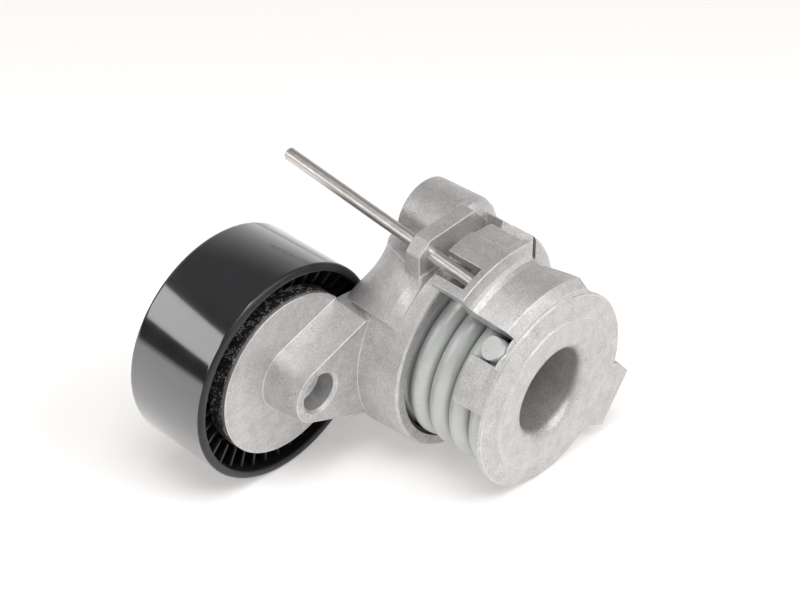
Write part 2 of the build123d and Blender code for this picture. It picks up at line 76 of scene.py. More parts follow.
def add(tree, kind, settings=None, inputs=None):
    """Add a node, set its settings, and give each named socket a value or a link."""
    made = tree.nodes.new(kind)
    for name, value in (settings or {}).items():
        setattr(made, name, value)
    for name, value in (inputs or {}).items():
        if isinstance(value, bpy.types.NodeSocket):
            tree.links.new(value, made.inputs[name])
        else:
            made.inputs[name].default_value = value
    return made


print("white is", colour("#ffffff"))

# %% [markdown]
# ## Camera
#
# A long lens from about 60 cm away keeps the perspective gentle, as in a catalogue picture.
# The camera looks past the end of the lock pin from above, so the mounting face, the spring
# and the rim of the pulley all show.

# %% Camera
AIM = Vector((-0.0182, 0.0445, 0.0209))
DISTANCE = 0.609
AZIMUTH, ELEVATION = radians(-46.86), radians(38.75)

towards_camera = Vector((sin(AZIMUTH) * cos(ELEVATION), -cos(AZIMUTH) * cos(ELEVATION), sin(ELEVATION)))
camera = bpy.data.objects.new("camera", bpy.data.cameras.new("camera"))
bpy.context.scene.collection.objects.link(camera)
camera.location = AIM + towards_camera * DISTANCE
camera.rotation_euler = towards_camera.to_track_quat("Z", "Y").to_euler()
camera.data.sensor_width = 36
camera.data.lens = 94.7
camera.data.clip_start = 0.02
bpy.context.scene.camera = camera
print("camera at", [round(c, 3) for c in camera.location])

# %% [markdown]
# ## Floor
#
# The tensioner rests on three places: the foot of the mounting plate, the belly of the arm's
# cup and the near edge of the pulley. The table top is the plane through those three, so that
# the part stands on it and its contact shadows are tight. A level floor would be simpler, but
# the part would float over it at two of the three places.

# %% The plane through the three places
FOOT_IN, BELLY_IN = 2.5 * MM, 15.5 * MM

plate_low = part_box("base_housing")[0]
cup_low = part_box("swing_arm")[0]
pulley_low, pulley_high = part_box("pulley_shell")
contacts = [
    Vector((0, plate_low.y + FOOT_IN, plate_low.z)),
    Vector((0, cup_low.y + BELLY_IN, cup_low.z)),
    Vector(((pulley_low.x + pulley_high.x) / 2, pulley_low.y, pulley_low.z)),
]
normal = (contacts[1] - contacts[0]).cross(contacts[2] - contacts[0]).normalized()
if normal.z < 0:
    normal.negate()
print("floor tilt", round(degrees(normal.angle(Vector((0, 0, 1)))), 2), "degrees")

# %% [markdown]
# The table top is a white acrylic sheet five metres across, so wide that this camera never
# sees its edge. It is lit faintly from below, which keeps the shadows on it pale; a paper
# backdrop would need more light from above, and that would flatten the castings.

# %% Acrylic table top
FLOOR_HALF = 2.5

across_floor = Vector((1, 0, 0)) - normal * normal.x
across_floor.normalize()
along_floor = normal.cross(across_floor)
corners = [contacts[1] + across_floor * (i * FLOOR_HALF) + along_floor * (j * FLOOR_HALF)
           for i, j in ((-1, -1), (1, -1), (1, 1), (-1, 1))]
floor_mesh = bpy.data.meshes.new("table_top")
floor_mesh.from_pydata(corners, [], [(0, 1, 2, 3)])
floor = bpy.data.objects.new("table_top", floor_mesh)
bpy.context.scene.collection.objects.link(floor)

acrylic = bpy.data.materials.new("lit_white_acrylic")
acrylic.use_nodes = True
shader = acrylic.node_tree.nodes["Principled BSDF"]
shader.inputs["Base Color"].default_value = colour("#f3f1f0")
shader.inputs["Roughness"].default_value = 0.9
shader.inputs["Specular IOR Level"].default_value = 0.1
shader.inputs["Emission Color"].default_value = colour("#fffdfb")
shader.inputs["Emission Strength"].default_value = 0.28
floor_mesh.materials.append(acrylic)
print("table top", 2 * FLOOR_HALF, "m across")

# %% [markdown]
# ## Studio light
#
# Metal and gloss show what surrounds them. A long softbox on the left draws the bright band
# down the pulley. One on the right lights the mounting side, and one high up on the camera's
# side lights the table and the tops of the castings without showing in the pulley. Area lights
# suit this better than points or suns, because gloss shows the shape of the light itself.

# %% Softboxes
def softbox(name, azimuth, elevation, distance, width, height, power):
    """Hang a rectangular soft light that looks at the tensioner from a direction in degrees."""
    a, e = radians(azimuth), radians(elevation)
    away = Vector((cos(a) * cos(e), sin(a) * cos(e), sin(e)))
    light = bpy.data.lights.new(name, "AREA")
    light.shape = "RECTANGLE"
    light.size, light.size_y = width, height
    light.energy = power
    lamp = bpy.data.objects.new(name, light)
    bpy.context.scene.collection.objects.link(lamp)
    lamp.location = AIM + away * distance
    lamp.rotation_euler = away.to_track_quat("Z", "Y").to_euler()


softbox("left_softbox", 143, 27.0, 0.9, 0.8, 0.38, 2.0)
softbox("right_softbox", -66, 46, 1.0, 0.6, 0.5, 3.3)
softbox("top_softbox", -137, 76, 1.0, 0.6, 0.6, 5.5)

# %% [markdown]
# The rest of the room is a simple world: its walls are bright at the foot and fade to a dim
# ceiling, which gives the black plastic its depth. Behind the left softbox the room is dark,
# so that the bright band on the pulley has clean edges. Heights are the vertical part of a
# direction, from -1 straight down to 1 straight up.

# %% Room
WALL_FOOT, CEILING = -0.1, 0.72
FOOT_LIGHT, CEILING_LIGHT = 1.1, 0.15
DARK_TOWARDS = (-0.8, 0.6, 0.0)
DARK_FROM, DARK_TO, DARK_LEFT = 0.55, 0.90, 0.08

world = bpy.data.worlds.new("studio_room")
bpy.context.scene.world = world
world.use_nodes = True
tree = world.node_tree
direction = add(tree, "ShaderNodeTexCoord").outputs["Generated"]
height = add(tree, "ShaderNodeSeparateXYZ", None, {0: direction})
walls = add(tree, "ShaderNodeMapRange", None, {
    "Value": height.outputs["Z"], "From Min": WALL_FOOT, "From Max": CEILING,
    "To Min": FOOT_LIGHT, "To Max": CEILING_LIGHT})
leftward = add(tree, "ShaderNodeVectorMath", {"operation": "DOT_PRODUCT"}, {0: direction, 1: DARK_TOWARDS})
dark_side = add(tree, "ShaderNodeMapRange", {"interpolation_type": "SMOOTHSTEP"}, {
    "Value": leftward.outputs["Value"], "From Min": DARK_FROM, "From Max": DARK_TO,
    "To Min": 1.0, "To Max": DARK_LEFT})
room = add(tree, "ShaderNodeMath", {"operation": "MULTIPLY"}, {
    0: walls.outputs["Result"], 1: dark_side.outputs["Result"]})
tree.nodes["Background"].inputs["Color"].default_value = colour("#ffffff")
tree.links.new(room.outputs["Value"], tree.nodes["Background"].inputs["Strength"])
bpy.context.scene.view_settings.view_transform = "Standard"
print("room strength", FOOT_LIGHT, "at the foot,", CEILING_LIGHT, "at the ceiling")

# %% [markdown]
# ## Materials
#
# Every finish is procedural, so it needs no picture and no unwrapping. Each starts the same
# way, with a shader and the piece's Object coordinates, which stay on the piece as it moves.
# A second helper gives a finished material to the CAD nodes that wear it.

# %% Material helpers
def start_material(name):
    """A new material with its tree, its shader and its object coordinates."""
    material = bpy.data.materials.new(name)
    material.use_nodes = True
    tree = material.node_tree
    place = add(tree, "ShaderNodeTexCoord").outputs["Object"]
    return material, tree, tree.nodes["Principled BSDF"], place


def dress(material, *names):
    """Give CAD nodes their material."""
    for name in names:
        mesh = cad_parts[name].data
        mesh.materials.clear()
        mesh.materials.append(material)
    print(material.name, "on", ", ".join(names))


print("pieces to dress:", len(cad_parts))

# %% [markdown]
# ## Die-cast aluminium
#
# The base and the arm are aluminium castings, shot-blasted after casting. Three things make
# up the skin, and each is a function: a cloudy, pitted colour, a blasted grain, and edges
# painted lighter, partly as wear rubbed in handling and partly as a painted highlight. The
# colour comes first: a warm light grey with faint clouds a few millimetres across and
# pin-prick pits that gather in patches, as gas does in a casting.

# %% Cloudy, pitted skin
CLOUD_SIZE, PIT_SIZE, PATCH_SIZE = 4.5 * MM, 0.45 * MM, 13 * MM


def cast_skin(tree, place):
    """The clouds, the pits and the colour they give together."""
    clouds = add(tree, "ShaderNodeTexNoise", None, {
        "Vector": place, "Scale": 1 / CLOUD_SIZE, "Detail": 8.0, "Roughness": 0.66, "Distortion": 0.1})
    stain = add(tree, "ShaderNodeMapRange", None, {
        "Value": clouds.outputs["Fac"], "From Min": 0.36, "From Max": 0.64})
    skin = add(tree, "ShaderNodeMix", {"data_type": "RGBA"}, {
        "Factor": stain.outputs["Result"], 6: colour("#e0dedd"), 7: colour("#cecccb")})
    # pits, gathered in patches
    pits = add(tree, "ShaderNodeTexNoise", None, {
        "Vector": place, "Scale": 1 / PIT_SIZE, "Detail": 2.0, "Roughness": 0.6})
    patches = add(tree, "ShaderNodeTexNoise", None, {
        "Vector": place, "Scale": 1 / PATCH_SIZE, "Detail": 3.0, "Roughness": 0.6})
    patch = add(tree, "ShaderNodeMapRange", None, {
        "Value": patches.outputs["Fac"], "From Min": 0.46, "From Max": 0.70, "To Min": 0.74, "To Max": 0.56})
    over = add(tree, "ShaderNodeMath", {"operation": "SUBTRACT"}, {
        0: pits.outputs["Fac"], 1: patch.outputs["Result"]})
    pit = add(tree, "ShaderNodeMapRange", None, {
        "Value": over.outputs["Value"], "From Min": 0.0, "From Max": 0.06})
    pitted = add(tree, "ShaderNodeMix", {"data_type": "RGBA"}, {
        "Factor": pit.outputs["Result"], 6: skin.outputs[2], 7: colour("#8f8d8b")})
    return clouds.outputs["Fac"], pit.outputs["Result"], pitted.outputs[2]


print("clouds, pits and patches", [round(s / MM, 2) for s in (CLOUD_SIZE, PIT_SIZE, PATCH_SIZE)], "mm")

# %% [markdown]
# Blasting leaves dimples of about half a millimetre, each a little lighter or darker than the
# next. A bevel node finds the edges: where the rounded normal leaves the true one, the colour
# is painted lighter, partly as rubbed wear and partly as a painted highlight. The bevel only
# turns the shading, so the CAD mesh stays as it is.

# %% Blasted grain, and edges with wear and a painted highlight
GRAIN_SIZE, EDGE_RADIUS = 0.55 * MM, 0.45 * MM


def blasted_grain(tree, place, skin):
    """The dimples, and the skin's colour darkened and lightened by them."""
    grain = add(tree, "ShaderNodeTexNoise", None, {
        "Vector": place, "Scale": 1 / GRAIN_SIZE, "Detail": 4.0, "Roughness": 0.75})
    speckle = add(tree, "ShaderNodeMapRange", None, {
        "Value": grain.outputs["Fac"], "From Min": 0.35, "From Max": 0.65})
    grained = add(tree, "ShaderNodeMix", {"data_type": "RGBA", "blend_type": "MULTIPLY"}, {
        "Factor": 1.0, 6: skin})
    tone = add(tree, "ShaderNodeMix", {"data_type": "RGBA"}, {
        "Factor": speckle.outputs["Result"], 6: colour("#d8d8d8"), 7: colour("#ffffff")})
    tree.links.new(tone.outputs[2], grained.inputs[7])
    return grain.outputs["Fac"], grained.outputs[2]


def rubbed_and_highlit_edge(tree):
    """The rounded normal, and a mask that is 1 along the edges, where wear and a painted highlight go."""
    rounded = add(tree, "ShaderNodeBevel", {"samples": 6}, {"Radius": EDGE_RADIUS})
    flat = add(tree, "ShaderNodeNewGeometry")
    turn = add(tree, "ShaderNodeVectorMath", {"operation": "DOT_PRODUCT"}, {
        0: rounded.outputs["Normal"], 1: flat.outputs["Normal"]})
    # 1 along the edges: the mask for rubbed wear and for a painted highlight
    wear_and_highlight = add(tree, "ShaderNodeMapRange", None, {
        "Value": turn.outputs["Value"], "From Min": 0.99, "From Max": 0.92})
    return rounded.outputs["Normal"], wear_and_highlight.outputs["Result"]


print("grain", round(GRAIN_SIZE / MM, 2), "mm, edges rubbed within", round(EDGE_RADIUS / MM, 2), "mm")

# %% [markdown]
# The casting puts the three together. Its oxide and its blasted grain scatter the light, so
# it is less metallic than a machined face. Under the grain runs a slow waviness of about
# 5 mm that the mould left, which breaks up long reflections.

# %% The casting
def die_cast_aluminium():
    """Shot-blasted aluminium casting: cloudy grey, pitted in patches, lighter at the edges from wear and a
    painted highlight.
    """
    material, tree, shader, place = start_material("die_cast_aluminium")
    clouds, pit, skin = cast_skin(tree, place)
    grain, grained = blasted_grain(tree, place, skin)
    rounded, wear_and_highlight = rubbed_and_highlit_edge(tree)
    # edges painted near white: partly wear rubbed in handling, partly a painted highlight
    worn_and_highlit_colour = add(tree, "ShaderNodeMix", {"data_type": "RGBA"}, {
        "Factor": wear_and_highlight, 6: grained, 7: colour("#f4f3f2")})
    tree.links.new(worn_and_highlit_colour.outputs[2], shader.inputs["Base Color"])
    shader.inputs["Metallic"].default_value = 0.65
    matt = add(tree, "ShaderNodeMapRange", None, {
        "Value": clouds, "From Min": 0.3, "From Max": 0.7, "To Min": 0.30, "To Max": 0.44})
    polish = add(tree, "ShaderNodeMix", None, {"Factor": wear_and_highlight, "A": matt.outputs["Result"], "B": 0.30})
    tree.links.new(polish.outputs[0], shader.inputs["Roughness"])
    waves = add(tree, "ShaderNodeTexNoise", None, {
        "Vector": place, "Scale": 1 / (5 * MM), "Detail": 2.0, "Roughness": 0.5})
    slow = add(tree, "ShaderNodeBump", None, {
        "Height": waves.outputs["Fac"], "Distance": 0.12 * MM, "Strength": 0.5, "Normal": rounded})
    fine = add(tree, "ShaderNodeBump", None, {
        "Height": grain, "Distance": 0.14 * MM, "Strength": 0.9, "Normal": slow.outputs["Normal"]})
    sunk = add(tree, "ShaderNodeBump", {"invert": True}, {
        "Height": pit, "Distance": 0.04 * MM, "Strength": 0.5, "Normal": fine.outputs["Normal"]})
    tree.links.new(sunk.outputs["Normal"], shader.inputs["Normal"])
    return material


dress(die_cast_aluminium(), "base_housing", "swing_arm")

# %% [markdown]
# ## Metals of the small parts
#
# Turned and stamped steel parts share one recipe: a base colour between two close shades,
# and fine lines that run round the part or along it. Only the colours, the roughness and the
# direction of the lines differ, so one function makes them all.

# %% Steel
LINE_WIDTH = 0.25 * MM


def steel(name, light, dark, roughness, stretch, turn_x=0.0):
    """Worked steel. The pattern is drawn out along one axis, as tool and die marks are."""
    material, tree, shader, place = start_material(name)
    drawn = add(tree, "ShaderNodeMapping", None, {
        "Vector": place, "Rotation": (turn_x, 0, 0), "Scale": stretch})
    lines = add(tree, "ShaderNodeTexNoise", None, {
        "Vector": drawn.outputs["Vector"], "Scale": 1 / LINE_WIDTH, "Detail": 3.0, "Roughness": 0.6})
    clouds = add(tree, "ShaderNodeTexNoise", None, {
        "Vector": place, "Scale": 1 / (6 * MM), "Detail": 4.0, "Roughness": 0.6})
    shade = add(tree, "ShaderNodeMix", {"data_type": "RGBA"}, {
        "Factor": clouds.outputs["Fac"], 6: colour(light), 7: colour(dark)})
    tree.links.new(shade.outputs[2], shader.inputs["Base Color"])
    shader.inputs["Metallic"].default_value = 1.0
    gloss = add(tree, "ShaderNodeMapRange", None, {
        "Value": lines.outputs["Fac"], "From Min": 0.3, "From Max": 0.7,
        "To Min": roughness * 0.75, "To Max": roughness * 1.3})
    tree.links.new(gloss.outputs["Result"], shader.inputs["Roughness"])
    marks = add(tree, "ShaderNodeBump", None, {
        "Height": lines.outputs["Fac"], "Distance": 0.02 * MM, "Strength": 0.5})
    tree.links.new(marks.outputs["Normal"], shader.inputs["Normal"])
    return material


print("tool lines", LINE_WIDTH / MM, "mm apart")

# %% [markdown]
# The lock pin leans out of the pivot's direction by about 7 degrees, so its die marks are
# turned by as much. The other parts are turned or ground, and their lines run round them.

# %% Steel parts
PIN_TILT = atan2(0.13, 1.0)
# drawn bright wire: die marks along the pin, a faintly warm grey
bright_wire = steel("drawn_bright_steel", "#e4e0dc", "#c9c4c0", 0.38, (1, 0.02, 1), -PIN_TILT)
# zinc plate with a pale blue passivation, satin
zinc_plate = steel("zinc_plated_steel", "#c9cdd1", "#a4aab0", 0.34, (0.5, 1, 0.5))
# tempered spring steel, blue-black and oiled
tempered = steel("blued_spring_steel", "#4a4d55", "#2f3138", 0.32, (0.3, 1, 0.3))
# ground and honed bearing steel, nearly a mirror
ground = steel("ground_bearing_steel", "#d6d6d8", "#bfc0c3", 0.14, (0.1, 1, 0.1))
dress(bright_wire, "lock_pin")
dress(zinc_plate, "bolt_sleeve", "thrust_plate", "bearing_spacer", "bolt_washer", "pulley_bolt")
dress(tempered, "disc_spring", "retaining_ring")
dress(ground, "bearing_outer_ring", "bearing_inner_ring", "bearing_balls")

# %% [markdown]
# ## Plastics and rubber
#
# The polymers differ in colour, gloss and grain, but each is a moulded or pressed skin with
# a grain of a real size over soft clouds, so one function makes them all.

# %% Polymers
def polymer(name, light, dark, roughness, grain_mm, relief_mm, stretch=(1, 1, 1), ior=1.5):
    """A moulded or pressed polymer with a grain of a real size."""
    material, tree, shader, place = start_material(name)
    drawn = add(tree, "ShaderNodeMapping", None, {"Vector": place, "Scale": stretch})
    grain = add(tree, "ShaderNodeTexNoise", None, {
        "Vector": drawn.outputs["Vector"], "Scale": 1 / (grain_mm * MM), "Detail": 3.0, "Roughness": 0.65})
    clouds = add(tree, "ShaderNodeTexNoise", None, {
        "Vector": place, "Scale": 1 / (11 * MM), "Detail": 5.0, "Roughness": 0.6})
    both = add(tree, "ShaderNodeMath", {"operation": "MULTIPLY"}, {
        0: grain.outputs["Fac"], 1: clouds.outputs["Fac"]})
    spread = add(tree, "ShaderNodeMapRange", None, {
        "Value": both.outputs["Value"], "From Min": 0.14, "From Max": 0.40})
    shade = add(tree, "ShaderNodeMix", {"data_type": "RGBA"}, {
        "Factor": spread.outputs["Result"], 6: colour(dark), 7: colour(light)})
    tree.links.new(shade.outputs[2], shader.inputs["Base Color"])
    gloss = add(tree, "ShaderNodeMapRange", None, {
        "Value": clouds.outputs["Fac"], "From Min": 0.3, "From Max": 0.7,
        "To Min": roughness * 0.85, "To Max": roughness * 1.2})
    tree.links.new(gloss.outputs["Result"], shader.inputs["Roughness"])
    relief = add(tree, "ShaderNodeBump", None, {
        "Height": grain.outputs["Fac"], "Distance": relief_mm * MM, "Strength": 0.6})
    tree.links.new(relief.outputs["Normal"], shader.inputs["Normal"])
    shader.inputs["IOR"].default_value = ior
    return material


print("helper:", polymer.__name__)

# %% [markdown]
# The pulley is glass-filled nylon. Where the belt runs it is polished: hair-fine lines go
# round it, the black has a trace of violet, and a coat gives the hard gloss. In the recess
# and on the ribs it is left as moulded, and duller.

# %% Nylon of the pulley
running_nylon = polymer("polished_black_nylon", "#1d1b20", "#121115", 0.13, 0.35, 0.003, (0.05, 1, 0.05), 1.8)
running_shader = running_nylon.node_tree.nodes["Principled BSDF"]
running_shader.inputs["Coat Weight"].default_value = 1.0
running_shader.inputs["Coat Roughness"].default_value = 0.10
running_shader.inputs["Coat IOR"].default_value = 1.9
moulded_nylon = polymer("moulded_black_nylon", "#242326", "#141416", 0.34, 0.5, 0.02)
dress(moulded_nylon, "dust_cap", "pulley_shell")

# %% [markdown]
# The bushes, linings, cage and seals are hidden inside, and matt. They still get their real
# finishes, because they show when the tensioner is taken apart.

# %% Bushes, linings, cage and seals
# self-lubricating liner and guide
liner_plastic = polymer("dark_nylon_liner", "#2b2b2d", "#19191b", 0.5, 0.4, 0.03)
# bronze-filled PTFE
bush_plastic = polymer("bronze_filled_ptfe", "#8c7a55", "#5f5138", 0.45, 0.25, 0.01)
# pressed lining with short fibres
lining = polymer("pressed_friction_lining", "#4a443d", "#25211d", 0.75, 0.4, 0.06)
# natural nylon cage, the colour of bone
cage_nylon = polymer("natural_nylon", "#d9cfae", "#b8ab86", 0.4, 0.6, 0.01)
# nitrile rubber, matt
seal_rubber = polymer("nitrile_rubber", "#202021", "#121213", 0.6, 0.3, 0.01)
dress(liner_plastic, "damping_liner", "spring_guide")
dress(bush_plastic, "front_bush", "rear_bush")
dress(lining, "friction_washer")
dress(cage_nylon, "bearing_cage")
dress(seal_rubber, "front_bearing_seal", "rear_bearing_seal")

# %% [markdown]
# The hub shield is moulded from a coarse, mineral-filled plastic: nearly black, with pale
# grains about half a millimetre across that stand out of the surface and catch the light.

# %% Coarse plastic of the hub shield
def mineral_filled_plastic():
    """Near-black plastic with raised pale grains."""
    material, tree, shader, place = start_material("mineral_filled_plastic")
    grains = add(tree, "ShaderNodeTexVoronoi", {"feature": "F1"}, {
        "Vector": place, "Scale": 1 / (0.75 * MM), "Randomness": 1.0})
    thick = add(tree, "ShaderNodeTexNoise", None, {
        "Vector": place, "Scale": 1 / (2.5 * MM), "Detail": 4.0, "Roughness": 0.7})
    reach = add(tree, "ShaderNodeMapRange", None, {
        "Value": thick.outputs["Fac"], "From Min": 0.40, "From Max": 0.60, "To Min": 0.22, "To Max": 0.55})
    inside = add(tree, "ShaderNodeMath", {"operation": "SUBTRACT"}, {
        0: reach.outputs["Result"], 1: grains.outputs["Distance"]})
    grain = add(tree, "ShaderNodeMapRange", None, {
        "Value": inside.outputs["Value"], "From Min": 0.0, "From Max": 0.12})
    shade = add(tree, "ShaderNodeMix", {"data_type": "RGBA"}, {
        "Factor": grain.outputs["Result"], 6: colour("#1b1b1d"), 7: colour("#969594")})
    tree.links.new(shade.outputs[2], shader.inputs["Base Color"])
    gloss = add(tree, "ShaderNodeMapRange", None, {
        "Value": grain.outputs["Result"], "To Min": 0.5, "To Max": 0.25})
    tree.links.new(gloss.outputs["Result"], shader.inputs["Roughness"])
    relief = add(tree, "ShaderNodeBump", None, {
        "Height": grain.outputs["Result"], "Distance": 0.12 * MM, "Strength": 0.8})
    tree.links.new(relief.outputs["Normal"], shader.inputs["Normal"])
    return material


dress(mineral_filled_plastic(), "hub_shield")

# %% [markdown]
# ## Torsion spring
#
# The spring is one round wire: four and three quarter turns, and at each end a bend into a
# short leg that points outwards. Its path follows a rule, so the script works out the centre
# line and Geometry Nodes sweep the wire along it. A screw modifier could make the turns, but
# not the bends into the legs.

# %% Path of the wire
WIRE_R = 3.5 * MM
COIL_R = 25.2 * MM
COIL_PITCH = 7.53 * MM
# degrees round the axis where the coil meets the base's leg and the arm's leg
COIL_START, COIL_END = 138.0, 1871.0
COIL_START_Y = 5.52 * MM
LEG_BEND_R = 5.2 * MM
LEG_REACH = 33.4 * MM
# how far each leg leans along the axis, in degrees
LEG_RISE = {COIL_START: 12.0, COIL_END: 0.0}
# how finely the path is drawn: degrees along the coil, steps in a bend and in a leg
COIL_STEP = 4.0
BEND_STEPS, LEG_STEPS = 12, 3


def coil_point(angle):
    """A point of the centre line; angles run from +X towards +Z."""
    a = radians(angle)
    return Vector((COIL_R * cos(a), COIL_START_Y + COIL_PITCH * (angle - COIL_START) / 360, COIL_R * sin(a)))


def leg_points(angle, direction):
    """The bend out of the coil and the straight leg, from the coil outwards."""
    a, rise = radians(angle), radians(LEG_RISE[angle])
    along = Vector((-COIL_R * sin(a), COIL_PITCH / (2 * pi), COIL_R * cos(a))).normalized() * direction
    up = (Vector((0, 1, 0)) - along * along.y).normalized()
    outward = Vector((cos(a), 0, sin(a))) * cos(rise) + up * sin(rise)
    centre = coil_point(angle) + outward * LEG_BEND_R
    bend = [centre + along * LEG_BEND_R * sin(t) - outward * LEG_BEND_R * cos(t)
            for t in (pi / 2 * k / BEND_STEPS for k in range(1, BEND_STEPS + 1))]
    straight = LEG_REACH - COIL_R - LEG_BEND_R
    return bend + [bend[-1] + outward * straight * k / LEG_STEPS for k in range(1, LEG_STEPS + 1)]


coil_steps = int((COIL_END - COIL_START) / COIL_STEP)
path = leg_points(COIL_START, -1)[::-1]
path += [coil_point(COIL_START + (COIL_END - COIL_START) * k / coil_steps) for k in range(coil_steps + 1)]
path += leg_points(COIL_END, 1)
print("wire length", round(sum((q - p).length for p, q in zip(path, path[1:])) / MM), "mm")

# %% [markdown]
# Two pieces are made by Geometry Nodes: the spring's wire and the pulley's ribs. Three helpers
# serve both: one opens a tree, one adds a named input, and one runs the tree on an object and
# keeps the result as a plain mesh, because the export drops modifiers and instances.

# %% Geometry Nodes helpers
def new_group(name):
    """An empty geometry tree with its geometry sockets, and its two end nodes."""
    group = bpy.data.node_groups.new(name, "GeometryNodeTree")
    group.interface.new_socket("Geometry", in_out="INPUT", socket_type="NodeSocketGeometry")
    group.interface.new_socket("Geometry", in_out="OUTPUT", socket_type="NodeSocketGeometry")
    return group, group.nodes.new("NodeGroupInput"), group.nodes.new("NodeGroupOutput")


def new_input(group, name, kind):
    """A named input of a geometry tree; gives back the identifier a modifier needs."""
    return group.interface.new_socket(name, in_out="INPUT", socket_type=kind).identifier


def run_nodes(source, group, values, name):
    """Evaluate a geometry tree on an object and keep the result as a plain mesh object."""
    modifier = source.modifiers.new("nodes", "NODES")
    modifier.node_group = group
    for identifier, value in values.items():
        modifier[identifier] = value
    graph = bpy.context.evaluated_depsgraph_get()
    mesh = bpy.data.meshes.new_from_object(source.evaluated_get(graph), depsgraph=graph)
    mesh.name = name
    bpy.data.objects.remove(source)
    made = bpy.data.objects.new(name, mesh)
    bpy.context.scene.collection.objects.link(made)
    return made


print("helpers:", ", ".join(helper.__name__ for helper in (new_group, new_input, run_nodes)))

# %% [markdown]
# The spring's tree turns the path into a curve and sweeps a circle along it with closed
# ends. A curve object with a bevel would look the same, but the tree's sizes have names, and
# it can be run again on another path.

# %% Tree of the wire
WIRE_SIDES = 40

wire_group, wire_in, wire_out = new_group("wire_along_path")
wire_radius = new_input(wire_group, "Wire Radius", "NodeSocketFloat")
wire_sides = new_input(wire_group, "Sides", "NodeSocketInt")
wire_material = new_input(wire_group, "Material", "NodeSocketMaterial")
line = add(wire_group, "GeometryNodeMeshToCurve", None, {0: wire_in.outputs["Geometry"]})
section = add(wire_group, "GeometryNodeCurvePrimitiveCircle", None, {
    "Resolution": wire_in.outputs["Sides"], "Radius": wire_in.outputs["Wire Radius"]})
swept = add(wire_group, "GeometryNodeCurveToMesh", None, {
    "Curve": line.outputs["Curve"], "Profile Curve": section.outputs["Curve"], "Fill Caps": True})
plain = add(wire_group, "GeometryNodeRealizeInstances", None, {"Geometry": swept.outputs["Mesh"]})
finished = add(wire_group, "GeometryNodeSetMaterial", None, {
    "Geometry": plain.outputs["Geometry"], "Material": wire_in.outputs["Material"]})
wire_group.links.new(finished.outputs["Geometry"], wire_out.inputs["Geometry"])
print("geometry tree", wire_group.name, "with", len(wire_group.nodes), "nodes")

# %% [markdown]
# The wire is coated with zinc flake: a pale, slightly green grey, between paint and metal,
# satin, with small dark scuffs where the turns rubbed in handling.

# %% Coated spring
def flake_coating():
    """Zinc-flake coat on spring wire, with scuffs."""
    material, tree, shader, place = start_material("zinc_flake_coating")
    clouds = add(tree, "ShaderNodeTexNoise", None, {
        "Vector": place, "Scale": 1 / (8 * MM), "Detail": 4.0, "Roughness": 0.55})
    coat = add(tree, "ShaderNodeMix", {"data_type": "RGBA"}, {
        "Factor": clouds.outputs["Fac"], 6: colour("#cfd1cf"), 7: colour("#bdc0be")})
    specks = add(tree, "ShaderNodeTexNoise", None, {
        "Vector": place, "Scale": 1 / (1.1 * MM), "Detail": 3.0, "Roughness": 0.7})
    scuff = add(tree, "ShaderNodeMapRange", None, {
        "Value": specks.outputs["Fac"], "From Min": 0.67, "From Max": 0.74})
    worn = add(tree, "ShaderNodeMix", {"data_type": "RGBA"}, {
        "Factor": scuff.outputs["Result"], 6: coat.outputs[2], 7: colour("#70716f")})
    tree.links.new(worn.outputs[2], shader.inputs["Base Color"])
    shader.inputs["Metallic"].default_value = 0.35
    satin = add(tree, "ShaderNodeMapRange", None, {
        "Value": clouds.outputs["Fac"], "From Min": 0.3, "From Max": 0.7, "To Min": 0.34, "To Max": 0.46})
    tree.links.new(satin.outputs["Result"], shader.inputs["Roughness"])
    skin = add(tree, "ShaderNodeBump", None, {
        "Height": specks.outputs["Fac"], "Distance": 0.02 * MM, "Strength": 0.5})
    tree.links.new(skin.outputs["Normal"], shader.inputs["Normal"])
    return material


coated_wire = flake_coating()
print("coating:", coated_wire.name)

# %% [markdown]
# Now the wire is wound, and its faces are turned outwards. One end of the spring sits in the
# base and the other turns with the arm.

path_mesh = bpy.data.meshes.new("wire_path")
path_mesh.from_pydata(path, [(k, k + 1) for k in range(len(path) - 1)], [])
path_object = bpy.data.objects.new("wire_path", path_mesh)
bpy.context.scene.collection.objects.link(path_object)
wire_values = {wire_radius: WIRE_R, wire_sides: WIRE_SIDES, wire_material: coated_wire}
spring = run_nodes(path_object, wire_group, wire_values, "spring_wire")
edit = bmesh.new()
edit.from_mesh(spring.data)
bmesh.ops.recalc_face_normals(edit, faces=edit.faces)
edit.to_mesh(spring.data)
edit.free()
for face in spring.data.polygons:
    face.use_smooth = len(face.vertices) == 4
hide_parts("torsion_spring")
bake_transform(spring)
print("spring", len(spring.data.polygons), "faces")

# %% [markdown]
# ## Pulley
#
# The pulley is one moulding: a rim with a rounded lip, a web, a hub ring round the bearing,
# and 38 thin ribs on both sides of the web. Rim, web and hub are a turned shape, so a closed
# outline is spun round the axis. The ribs are all alike: one is drawn, and Geometry Nodes set
# copies of it round the axis at equal angles.

# %% Outline of the pulley's section
AXIS = Vector(((pulley_low.x + pulley_high.x) / 2, 0, (pulley_low.z + pulley_high.z) / 2))
FRONT, BACK = pulley_low.y / MM, pulley_high.y / MM
RIM_R, RIM_IN_R, HUB_R, BORE_R = 35.0, 32.3, 23.4, 20.02
LIP_R, CORNER_R, INNER_LIP_R, HUB_EDGE_R = 1.35, 0.6, 0.8, 0.4
ARC_STEPS = 5
WEB_FACE, WEB_FAR = FRONT + 13.4, FRONT + 16.4
HUB_FACE, HUB_FAR = FRONT + 6.8, FRONT + 23.4


def rounded(corners):
    """Round each (radius, y, corner radius) corner of a closed outline with a short arc."""
    outline = []
    for k, (r, y, size) in enumerate(corners):
        here = Vector((r, y))
        before, after = (Vector(corners[(k + j) % len(corners)][:2]) - here for j in (-1, 1))
        start, end = here + before.normalized() * size, here + after.normalized() * size
        for t in (j / ARC_STEPS for j in range(ARC_STEPS + 1)):
            outline.append(start * (1 - t) ** 2 + here * 2 * t * (1 - t) + end * t ** 2)
    return outline


